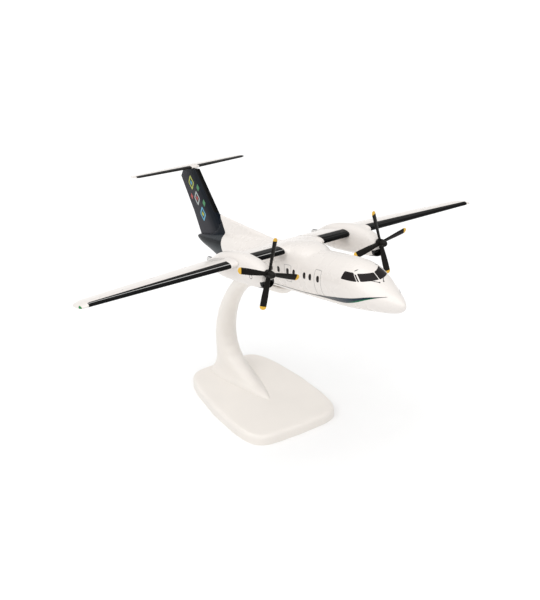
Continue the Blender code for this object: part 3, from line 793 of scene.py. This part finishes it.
def lay_on(piece, target, plane, side, relief=PRINT_RELIEF, start=SIDE_DISTANCE):
    """Carries a drawing into the aircraft's frame, lays it on a moulding and gives it its thickness.

    A side drawing is laid on from its side, and a front drawing from ahead.
    """
    from_side = plane == "side"
    piece.matrix_world = AIRCRAFT @ Matrix.Translation(
        (0.0, side * start, 0.0) if from_side else (FRONT_DISTANCE, 0.0, 0.0))
    forward = from_side and side < 0
    use_modifier(piece, "SHRINKWRAP", wrap_method="PROJECT", target=target,
                 use_project_x=not from_side, use_project_y=from_side, use_project_z=False,
                 use_negative_direction=not forward, use_positive_direction=forward)
    apply_place(piece)
    merge_and_face_out(piece)
    thicken(piece, 2 * relief)
    smooth_by_angle(piece)


def printed(piece, target, plane, side, material, relief=PRINT_RELIEF):
    cut_into_strips(piece, plane)
    lay_on(piece, target, plane, side, relief)
    finish_piece(piece, material)


def smooth_rows(rows, count):
    """Rows of numbers, evened out along a smooth curve through them all."""
    result = []
    last = len(rows) - 1
    for k in range(count):
        place = k / (count - 1) * last
        i = min(int(place), last - 1)
        t = place - i
        before, start, end, after = (rows[max(0, min(last, i + step))] for step in (-1, 0, 1, 2))
        result.append(tuple(
            0.5 * (2 * b + (c - a) * t + (2 * a - 5 * b + 4 * c - d) * t * t
                   + (3 * b - a - 3 * c + d) * t ** 3)
            for a, b, c, d in zip(before, start, end, after)))
    return result


# Pieces

def build_hull(finish):
    """The fuselage and the foot of the fin as one even shell, with the slot for the fin filled."""
    plug = copy_of("fin", "fin_slot_plug")
    swell(plug, SLOT_FILL)
    (front_x, front_z), (rear_x, rear_z) = FIN_SLOT_FILL
    keep_side(plug, (front_x, 0.0, front_z), (rear_z - front_z, 0.0, front_x - rear_x), fill=True)
    hull = join("hull", [copy_of("fuselage", "hull"), plug])
    even_shell(hull, *HULL_EVENING)
    finish_piece(hull, moulded_plastic("hull_white", finish.white, 0.28, coat=0.1))
    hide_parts("fuselage")
    return hull


def build_nacelle(label, side, white):
    """A nacelle as one even shell, with the slots for the wing filled inside its own outline."""
    outline = copy_of("nacelle_" + label, "nacelle_outline")
    edit(outline)
    bpy.ops.mesh.convex_hull(use_existing_faces=False)
    finish_edit()
    fillers = []
    for part in ("inner_", "outer_"):
        filler = copy_of("wing_" + part + label, "wing_slot_filler")
        keep_span(filler, side, WING_SLOT_SPAN, fill=True)
        swell(filler, SLOT_FILL)
        use_modifier(filler, "BOOLEAN", operation="INTERSECT", object=outline, solver="EXACT")
        fillers.append(filler)
    bpy.data.objects.remove(outline)
    nacelle = join("nacelle_shell_" + label, [copy_of("nacelle_" + label, "shell"), *fillers])
    even_shell(nacelle, *NACELLE_EVENING)
    finish_piece(nacelle, white)
    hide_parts("nacelle_" + label)


def build_wing(label, side, white):
    """The wing's panels, the inner one reaching a little into the hull."""
    root = copy_of("wing_inner_" + label, "wing_root_panel_" + label)
    edit(root)
    to_aircraft = AIRCRAFT.inverted()
    pick(root, lambda vertex: abs(side * (to_aircraft @ vertex.co).y - WING_ROOT_Y) < WING_ROOT_BAND)
    bpy.ops.transform.translate(value=(0.0, -side * SLOT_FILL * MM, 0.0))
    finish_edit()
    panel = copy_of("wing_outer_" + label, "wing_panel_" + label)
    for piece, node in ((root, "wing_inner_"), (panel, "wing_outer_")):
        smooth_by_area(piece)
        finish_piece(piece, white)
        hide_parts(node + label)


def build_mouldings(finish):
    """Even, soft-edged shells in place of the larger CAD solids."""
    print_tail(finish, build_hull(finish))
    white = moulded_plastic("white_plastic", finish.white, 0.30, coat=0.15)
    nacelle_white = nacelle_material(finish)
    for label, side in SIDES.items():
        build_nacelle(label, side, nacelle_white)
        build_wing(label, side, white)


def border_x(z):
    start, slope, curve = TAIL_BORDER
    return start + slope * z + curve * z * z


def print_tail(finish, hull):
    """The navy print of the tail: the hull's own skin behind the border line, lifted off it a little."""
    tail = own_copy(hull, "tail_print")
    edit(tail)
    front = max(border_x(z) for z in TAIL_BORDER_HEIGHTS[1:]) + TAIL_CUT_AHEAD
    bpy.ops.mesh.bisect(plane_co=AIRCRAFT @ Vector((front, 0.0, 0.0)), plane_no=to_world((1.0, 0.0, 0.0)),
                        threshold=MERGE_DISTANCE, clear_outer=True)
    sections = list(zip(TAIL_BORDER_HEIGHTS, TAIL_BORDER_HEIGHTS[1:]))
    for low, high in sections:
        along = Vector((border_x(high) - border_x(low), 0.0, high - low))
        bpy.ops.mesh.select_all(action="SELECT")
        bpy.ops.mesh.bisect(plane_co=AIRCRAFT @ Vector((border_x(low), 0.0, low)),
                            plane_no=to_world(along.cross(Vector((0.0, 1.0, 0.0)))),
                            threshold=MERGE_DISTANCE)
    bpy.ops.mesh.select_all(action="DESELECT")
    mesh = bmesh.from_edit_mesh(tail.data)
    to_aircraft = AIRCRAFT.inverted()
    for face in mesh.faces:
        centre = to_aircraft @ face.calc_center_median()
        low, high = next((s for s in sections if centre.z <= s[1]), sections[-1])
        share = (centre.z - low) / (high - low)
        face.select = centre.x > border_x(low) * (1 - share) + border_x(high) * share
    bmesh.update_edit_mesh(tail.data)
    bpy.ops.mesh.delete(type="FACE")
    finish_edit()
    thicken(tail, 2 * TAIL_RELIEF)
    smooth_by_angle(tail, 50.0)
    finish_piece(tail, tail_material(finish))


def model_blade(name):
    """One blade that stands up along Z: a circle squeezed to each section in turn and extruded outward."""
    start_clean()
    bpy.ops.mesh.primitive_circle_add(vertices=BLADE_SIDES, radius=1.0, fill_type="NGON")
    blade = take_primitive(name)
    edit(blade)
    radius, chord, pitch, thickness = 0.0, 2.0, 0.0, 2.0
    for i, (out, wide, turned, thick) in enumerate(BLADE_SECTIONS):
        if i:
            bpy.ops.mesh.extrude_region_move()
        centre = (0.0, 0.0, radius)
        bpy.ops.transform.rotate(value=radians(pitch), orient_axis="Z", center_override=centre)
        bpy.ops.transform.resize(value=(thick / thickness, wide / chord, 1.0), center_override=centre)
        bpy.ops.transform.rotate(value=-radians(turned), orient_axis="Z", center_override=centre)
        bpy.ops.transform.translate(value=(0.0, 0.0, out - radius))
        radius, chord, pitch, thickness = out, wide, turned, thick
    finish_edit()
    return blade


def model_hub(name):
    """Hub and shaft along X: a disc extruded and resized from step to step."""
    start_clean()
    (front, radius), *steps = HUB_PROFILE
    bpy.ops.mesh.primitive_circle_add(vertices=32, radius=radius, fill_type="NGON",
                                      location=(front, 0.0, 0.0), rotation=(0.0, radians(90.0), 0.0))
    hub = take_primitive(name)
    apply_place(hub)
    edit(hub)
    for place, size in steps:
        share = size / radius
        bpy.ops.mesh.extrude_region_move()
        bpy.ops.transform.resize(value=(1.0, share, share), center_override=(front, 0.0, 0.0))
        bpy.ops.transform.translate(value=(place - front, 0.0, 0.0))
        front, radius = place, size
    finish_edit()
    return hub


def build_propellers(finish):
    """Smooth blades with round tips on their hub and shaft."""
    for label in SIDES:
        joint = next(j for j in frame["joints"] if j["name"].startswith(label))
        shaft = Vector(joint["axis"])
        hub_frame = (Matrix.Translation(joint["pos_m"]) @ Matrix.Rotation(-asin(shaft.z), 4, "Y")
                     @ Matrix.Scale(MM, 4))
        first = model_blade("propeller_blades_" + label)
        parts = [first, *(own_copy(first, f"blade_{i}") for i in range(1, BLADE_COUNT))]
        for i, blade in enumerate(parts):
            angle = BLADE_PHASE[label] + 2 * pi * i / BLADE_COUNT
            blade.matrix_world = hub_frame @ Matrix.Rotation(angle, 4, "X")
            apply_place(blade)
        hub = model_hub("hub_" + label)
        hub.matrix_world = hub_frame
        apply_place(hub)
        propeller = join("propeller_blades_" + label, [*parts, hub])
        merge_and_face_out(propeller)
        smooth_by_angle(propeller)
        finish_piece(propeller, blade_material(finish, joint["pos_m"]),
                     label + "_propeller")
        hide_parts("propeller_" + label)


def build_arm(plastic):
    """The arm as one even shell, its foot sunk into the base so that they meet in one line."""
    arm = copy_of("stand_arm", "curved_arm")
    foot = min(vertex.co.z for vertex in arm.data.vertices)
    edit(arm)
    pick(arm, lambda vertex: vertex.co.z < foot + FOOT_BAND * MM)
    bpy.ops.transform.translate(value=(0.0, 0.0, -FOOT_SINK * MM))
    finish_edit()
    even_shell(arm, *ARM_EVENING)
    finish_piece(arm, plastic)
    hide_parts("stand_arm")


def dress_solids(finish):
    """Materials of the CAD solids that stay, and the arm over its own."""
    nodes = frame["nodes"]
    dress(nodes["fin"], fin_material(finish))
    dress(nodes["tailplane"], moulded_plastic("tailplane_white", finish.white, 0.30, coat=0.15))
    exhaust = exhaust_material()
    spinner_black = moulded_plastic("black_spinner", finish.black, 0.32, gloss=0.12)
    for label in SIDES:
        dress(nodes["exhaust_" + label], exhaust)
        dress(nodes["spinner_" + label], spinner_black)
    stand = moulded_plastic("stand_plastic", finish.stand, 0.34, coat=0.08)
    dress(nodes["stand_base"], stand)
    build_arm(stand)


def print_cabin_windows(finish):
    hull = bpy.data.objects["hull"]
    ink = printed_ink("window_ink", finish.glass, 0.22, GLASS_GLOSS)
    for label, side in SIDES.items():
        for i, x in enumerate(WINDOW_STATIONS):
            window = draw_slot(f"cabin_window_{label}_{i + 1}", (x, WINDOW_Z),
                               finish.window_width / MM, finish.window_height / MM)
            printed(window, hull, "side", side, ink)


def print_cockpit_windows(finish):
    hull = bpy.data.objects["hull"]
    ink = printed_ink("cockpit_glass_ink", finish.glass, 0.2, GLASS_GLOSS)
    for label, side in SIDES.items():
        screen = [(side * y, z) for y, z in WINDSCREEN[label]]
        for name, corners, plane, rounding in (
            ("side_pane_", SIDE_PANE, "side", 0.6),
            ("post_strip_", POST_STRIP, "side", 0.25),
            ("windscreen_pane_", screen, "front", 0.4),
        ):
            pane = draw_corners(name + label, corners, plane, rounding)
            printed(pane, hull, plane, side, ink)


def print_wipers(finish):
    """A wiper below each windscreen pane: a round foot and an arm across the pane's lower edge."""
    hull = bpy.data.objects["hull"]
    ink = printed_ink("wiper_black", finish.black, 0.35)
    for label, side in SIDES.items():
        start, end = (Vector((side * y, z)) for y, z in (WIPER_FOOT, WIPER_REACH[label]))
        wide, high = WIPER_FOOT_RADII
        rim = [start + Vector((wide * cos(radians(a)), high * sin(radians(a)))) for a in range(0, 360, 36)]
        foot = draw_corners(f"wiper_foot_{label}", rim, "front")
        printed(foot, hull, "front", side, ink, WIPER_FOOT_RELIEF)
        across = (end - start).orthogonal().normalized() * WIPER_ARM_WIDTH / 2
        corners = [start + across, start - across, end - across, end + across]
        arm = draw_corners(f"wiper_arm_{label}", corners, "front")
        printed(arm, hull, "front", side, ink, WIPER_ARM_RELIEF)


def print_doors(finish):
    hull = bpy.data.objects["hull"]
    grey = printed_ink("outline_grey_ink", finish.outline)
    for name, (rear, front, low, high) in (("front_door", FRONT_DOOR), ("mid_exit", MID_EXIT)):
        corners = ((rear, low), (front, low), (front, high), (rear, high))
        for label, side in SIDES.items():
            line = draw_corners(f"{name}_outline_{label}", corners, "side", OUTLINE_ROUNDING)
            hollow_out(line, OUTLINE_WIDTH)
            printed(line, hull, "side", side, grey, LINE_RELIEF)


def print_stripe(finish):
    """The nose stripe: a grid whose columns are each scaled to the stripe's height and moved there."""
    hull = bpy.data.objects["hull"]
    ink = stripe_material(finish)
    long, high = STRIPE_CELLS
    columns = smooth_rows(NOSE_STRIPE, long + 1)
    for label, side in SIDES.items():
        start_clean()
        bpy.ops.mesh.primitive_grid_add(x_subdivisions=long, y_subdivisions=high,
                                        size=1.0, rotation=(radians(90.0), 0.0, 0.0))
        stripe = take_primitive(f"nose_stripe_{label}")
        apply_place(stripe)
        vertices = stripe.data.vertices
        places = sorted({round(vertex.co.x, 5) for vertex in vertices})
        groups = [{v.index for v in vertices if abs(v.co.x - place) < 1e-4} for place in places]
        edit(stripe)
        for place, group, (x, top, low) in zip(places, groups, columns):
            pick(stripe, lambda vertex: vertex.index in group)
            bpy.ops.transform.resize(value=(1.0, 1.0, top - low), center_override=(place, 0.0, 0.0))
            bpy.ops.transform.translate(value=(x - place, 0.0, (top + low) / 2))
        finish_edit()
        lay_on(stripe, hull, "side", side, STRIPE_RELIEF)
        finish_piece(stripe, ink)


def lay_boot(name, node, side, span, back, slope, material):
    """A boot: the part of a wing's own skin round its leading edge, lifted off it a little."""
    boot = copy_of(node, name)
    keep_side(boot, (back, 0.0, 0.0), (-1.0, -side * slope, 0.0))
    keep_span(boot, side, span)
    thicken(boot, 2 * PRINT_RELIEF)
    smooth_by_angle(boot)
    finish_piece(boot, material)


def lay_boots(finish):
    for label, side in SIDES.items():
        for part, (span, back) in (("inner", INNER_BOOT), ("outer", OUTER_BOOT[label])):
            edges = [WING_EDGE_X - max(0.0, y - WING_BEND_Y) * WING_SWEEP for y in span]
            ink = boot_material(f"{part}_boot_ink_{label}", span, edges, BOOT_GLINT_COLOUR[label])
            lay_boot(f"{part}_boot_{label}", f"wing_{part}_{label}", side, span, back, 0.0, ink)
    rubber = printed_ink("tail_boot_ink", finish.black, 0.33, 0.12)
    span, back, slope = TAIL_BOOT
    for label, side in SIDES.items():
        lay_boot("tail_boot_" + label, "tailplane", side, span, back, slope, rubber)


def print_tip_lights():
    """Green and red lights printed on the front corners of the wing tips."""
    for label, side in SIDES.items():
        light = copy_of("wing_outer_" + label, "tip_light_" + label)
        keep_span(light, side, TIP_LIGHT_SPAN)
        keep_side(light, (TIP_LIGHT_REAR_X, 0.0, 0.0), (-1.0, 0.0, 0.0))
        thicken(light, PRINT_RELIEF)
        smooth_by_angle(light)
        ink = printed_ink("tip_light_ink_" + label, TIP_LIGHT_COLOUR[label], 0.15)
        finish_piece(light, ink)


def print_small_marks():
    """The ring on each nacelle's outer side and the small sensor marks above the cockpit."""
    grey = printed_ink("small_mark_grey", SMALL_MARK_GREY)
    hull = bpy.data.objects["hull"]
    for label, side in SIDES.items():
        centre, width, height, line_width = NACELLE_RING
        ring = draw_slot(f"nacelle_ring_{label}", centre, width, height, 20)
        hollow_out(ring, line_width)
        printed(ring, bpy.data.objects["nacelle_shell_" + label], "side", side, grey, LINE_RELIEF)
        mark = draw_corners(f"roof_mark_{label}", ROOF_MARK, "side", 0.15)
        printed(mark, hull, "side", side, grey, LINE_RELIEF)


def draw_lozenge(name, centre, width, height):
    """A lozenge in the side view with softened corners."""
    (x, z), half_width, half_height = centre, width / 2, height / 2
    corners = ((x, z - half_height), (x + half_width, z), (x, z + half_height), (x - half_width, z))
    return draw_corners(name, corners, "side", LOZENGE_ROUNDING * width)


def ink_of(colour):
    """The ink of one colour of the fin design, made once."""
    name = colour + "_ink"
    return bpy.data.materials.get(name) or printed_ink(name, INK_COLOURS[colour], 0.34, 0.25)


def print_fin_design():
    """Lozenges on both sides of the fin: lines, some with a filled heart in another colour."""
    fin = frame["nodes"]["fin"]
    for label, side in SIDES.items():
        for i, (centre, width, height, line, heart) in enumerate(FIN_LOZENGES):
            shape = draw_lozenge(f"fin_lozenge_{i + 1}_{label}", centre, width, height)
            shapes = [(shape, line)]
            if heart:
                hollow_out(shape, LOZENGE_STROKE)
                core = draw_lozenge(f"fin_heart_{i + 1}_{label}", centre, width * HEART_SHARE,
                                    height * HEART_SHARE)
                shapes.append((core, heart))
            for piece, colour in shapes:
                cut_into_strips(piece, "side", FIN_PRINT_CUT)
                lay_on(piece, fin, "side", side, LINE_RELIEF, FIN_DISTANCE)
                finish_piece(piece, ink_of(colour))


class DESKMODEL_OT_mouldings(bpy.types.Operator):
    """Builds the smooth white mouldings and dresses the rest"""
    bl_idname = "deskmodel.mouldings"
    bl_label = "Build Mouldings"

    def execute(self, context):
        build_mouldings(context.scene.desk_model_finish)
        dress_solids(context.scene.desk_model_finish)
        return {"FINISHED"}


class DESKMODEL_OT_propellers(bpy.types.Operator):
    """Models the two propellers with their round-tipped blades"""
    bl_idname = "deskmodel.propellers"
    bl_label = "Build Propellers"

    def execute(self, context):
        build_propellers(context.scene.desk_model_finish)
        return {"FINISHED"}


class DESKMODEL_OT_cabin_windows(bpy.types.Operator):
    """Prints the cabin windows along both sides"""
    bl_idname = "deskmodel.cabin_windows"
    bl_label = "Print Cabin Windows"

    def execute(self, context):
        print_cabin_windows(context.scene.desk_model_finish)
        return {"FINISHED"}


class DESKMODEL_OT_cockpit_windows(bpy.types.Operator):
    """Prints the cockpit panes"""
    bl_idname = "deskmodel.cockpit_windows"
    bl_label = "Print Cockpit Windows"

    def execute(self, context):
        print_cockpit_windows(context.scene.desk_model_finish)
        return {"FINISHED"}


class DESKMODEL_OT_wipers(bpy.types.Operator):
    """Lays a wiper below each windscreen pane"""
    bl_idname = "deskmodel.wipers"
    bl_label = "Lay Wipers"

    def execute(self, context):
        print_wipers(context.scene.desk_model_finish)
        return {"FINISHED"}


class DESKMODEL_OT_doors(bpy.types.Operator):
    """Prints the outlines of doors and exits"""
    bl_idname = "deskmodel.doors"
    bl_label = "Print Doors"

    def execute(self, context):
        print_doors(context.scene.desk_model_finish)
        return {"FINISHED"}


class DESKMODEL_OT_stripe(bpy.types.Operator):
    """Prints the stripe that sweeps back from the nose"""
    bl_idname = "deskmodel.stripe"
    bl_label = "Print Stripe"

    def execute(self, context):
        print_stripe(context.scene.desk_model_finish)
        return {"FINISHED"}


class DESKMODEL_OT_boots(bpy.types.Operator):
    """Lays the black boots round the leading edges"""
    bl_idname = "deskmodel.boots"
    bl_label = "Lay Boots"

    def execute(self, context):
        lay_boots(context.scene.desk_model_finish)
        return {"FINISHED"}


class DESKMODEL_OT_tip_lights(bpy.types.Operator):
    """Prints the lights on the wing tips"""
    bl_idname = "deskmodel.tip_lights"
    bl_label = "Print Tip Lights"

    def execute(self, context):
        print_tip_lights()
        return {"FINISHED"}


class DESKMODEL_OT_small_marks(bpy.types.Operator):
    """Prints the small rings and marks"""
    bl_idname = "deskmodel.small_marks"
    bl_label = "Print Small Marks"

    def execute(self, context):
        print_small_marks()
        return {"FINISHED"}


class DESKMODEL_OT_fin_design(bpy.types.Operator):
    """Prints the lozenges on both sides of the fin"""
    bl_idname = "deskmodel.fin_design"
    bl_label = "Print Fin Design"

    def execute(self, context):
        print_fin_design()
        return {"FINISHED"}


# Stage

# Camera: place in metres, turn in degrees, shift as a share of the frame, sensor in millimetres
CAMERA_PLACE = (0.44419, -0.26988, 0.32527)
CAMERA_TURN = (64.063, 0.572, 56.272)
CAMERA_SHIFT = (-0.0302, -0.0013)
SENSOR_WIDTH = 36.0
FLOOR_SIZE = 12.0
# The overhead light leans towards the camera's side
SOFTBOX_FROM = (0.20, -0.28, 1.0)


def build_stage(stage):
    scene = bpy.context.scene
    camera_data = bpy.data.cameras.new("camera")
    camera_data.lens = stage.lens
    camera_data.sensor_width = SENSOR_WIDTH
    camera_data.shift_x, camera_data.shift_y = CAMERA_SHIFT
    camera_data.clip_start = 0.01
    camera = bpy.data.objects.new("camera", camera_data)
    camera.location = CAMERA_PLACE
    camera.rotation_euler = [radians(angle) for angle in CAMERA_TURN]
    scene.collection.objects.link(camera)
    scene.camera = camera

    start_clean()
    bpy.ops.mesh.primitive_plane_add(size=FLOOR_SIZE)
    floor = take_primitive("floor")
    paint = Paint("pale_floor")
    paint.feed(paint.inputs["Base Color"], paint.toned(stage.floor, 0.005))
    paint.feed(paint.inputs["Roughness"], 0.9)
    paint.feed(paint.inputs["Specular IOR Level"], 0.1)
    dress(floor, paint.material)

    world = bpy.data.worlds.new("studio")
    world.use_nodes = True
    background = world.node_tree.nodes["Background"]
    background.inputs["Color"].default_value = (1.0, 1.0, 1.0, 1.0)
    background.inputs["Strength"].default_value = stage.room
    scene.world = world

    softbox = bpy.data.lights.new("softbox", "SUN")
    softbox.energy = stage.softbox
    softbox.angle = stage.softbox_width
    lamp = bpy.data.objects.new("softbox", softbox)
    lamp.location = SOFTBOX_FROM
    lamp.rotation_euler = Vector(SOFTBOX_FROM).to_track_quat("Z", "Y").to_euler()
    scene.collection.objects.link(lamp)
    scene.view_settings.view_transform = "Standard"
    scene.view_settings.look = "None"


class DESKMODEL_OT_stage(bpy.types.Operator):
    """Sets up the floor, the light and the camera"""
    bl_idname = "deskmodel.stage"
    bl_label = "Set Up Stage"

    def execute(self, context):
        build_stage(context.scene.desk_model_stage)
        return {"FINISHED"}


STEPS = (
    DESKMODEL_OT_mouldings,
    DESKMODEL_OT_propellers,
    DESKMODEL_OT_cabin_windows,
    DESKMODEL_OT_cockpit_windows,
    DESKMODEL_OT_wipers,
    DESKMODEL_OT_doors,
    DESKMODEL_OT_stripe,
    DESKMODEL_OT_boots,
    DESKMODEL_OT_tip_lights,
    DESKMODEL_OT_small_marks,
    DESKMODEL_OT_fin_design,
    DESKMODEL_OT_stage,
)


class DESKMODEL_PT_panel(bpy.types.Panel):
    """Lists the steps of the desk model and its settings"""
    bl_label = "Desk Model"
    bl_idname = "DESKMODEL_PT_panel"
    bl_space_type = "VIEW_3D"
    bl_region_type = "UI"
    bl_category = "Desk Model"

    def draw(self, context):
        for group in (context.scene.desk_model_finish, context.scene.desk_model_stage):
            for name in group.__annotations__:
                self.layout.prop(group, name)
        for step in STEPS:
            self.layout.operator(step.bl_idname)


CLASSES = (DeskModelFinish, DeskModelStage, *STEPS, DESKMODEL_PT_panel)


def register():
    for cls in CLASSES:
        bpy.utils.register_class(cls)
    bpy.types.Scene.desk_model_finish = PointerProperty(type=DeskModelFinish)
    bpy.types.Scene.desk_model_stage = PointerProperty(type=DeskModelStage)


def unregister():
    del bpy.types.Scene.desk_model_stage
    del bpy.types.Scene.desk_model_finish
    for cls in reversed(CLASSES):
        bpy.utils.unregister_class(cls)


def main():
    register()
    bpy.ops.deskmodel.mouldings()
    bpy.ops.deskmodel.propellers()
    bpy.ops.deskmodel.cabin_windows()
    bpy.ops.deskmodel.cockpit_windows()
    bpy.ops.deskmodel.wipers()
    bpy.ops.deskmodel.doors()
    bpy.ops.deskmodel.stripe()
    bpy.ops.deskmodel.boots()
    bpy.ops.deskmodel.tip_lights()
    bpy.ops.deskmodel.small_marks()
    bpy.ops.deskmodel.fin_design()
    bpy.ops.deskmodel.stage()


if __name__ == "__main__":
    main()
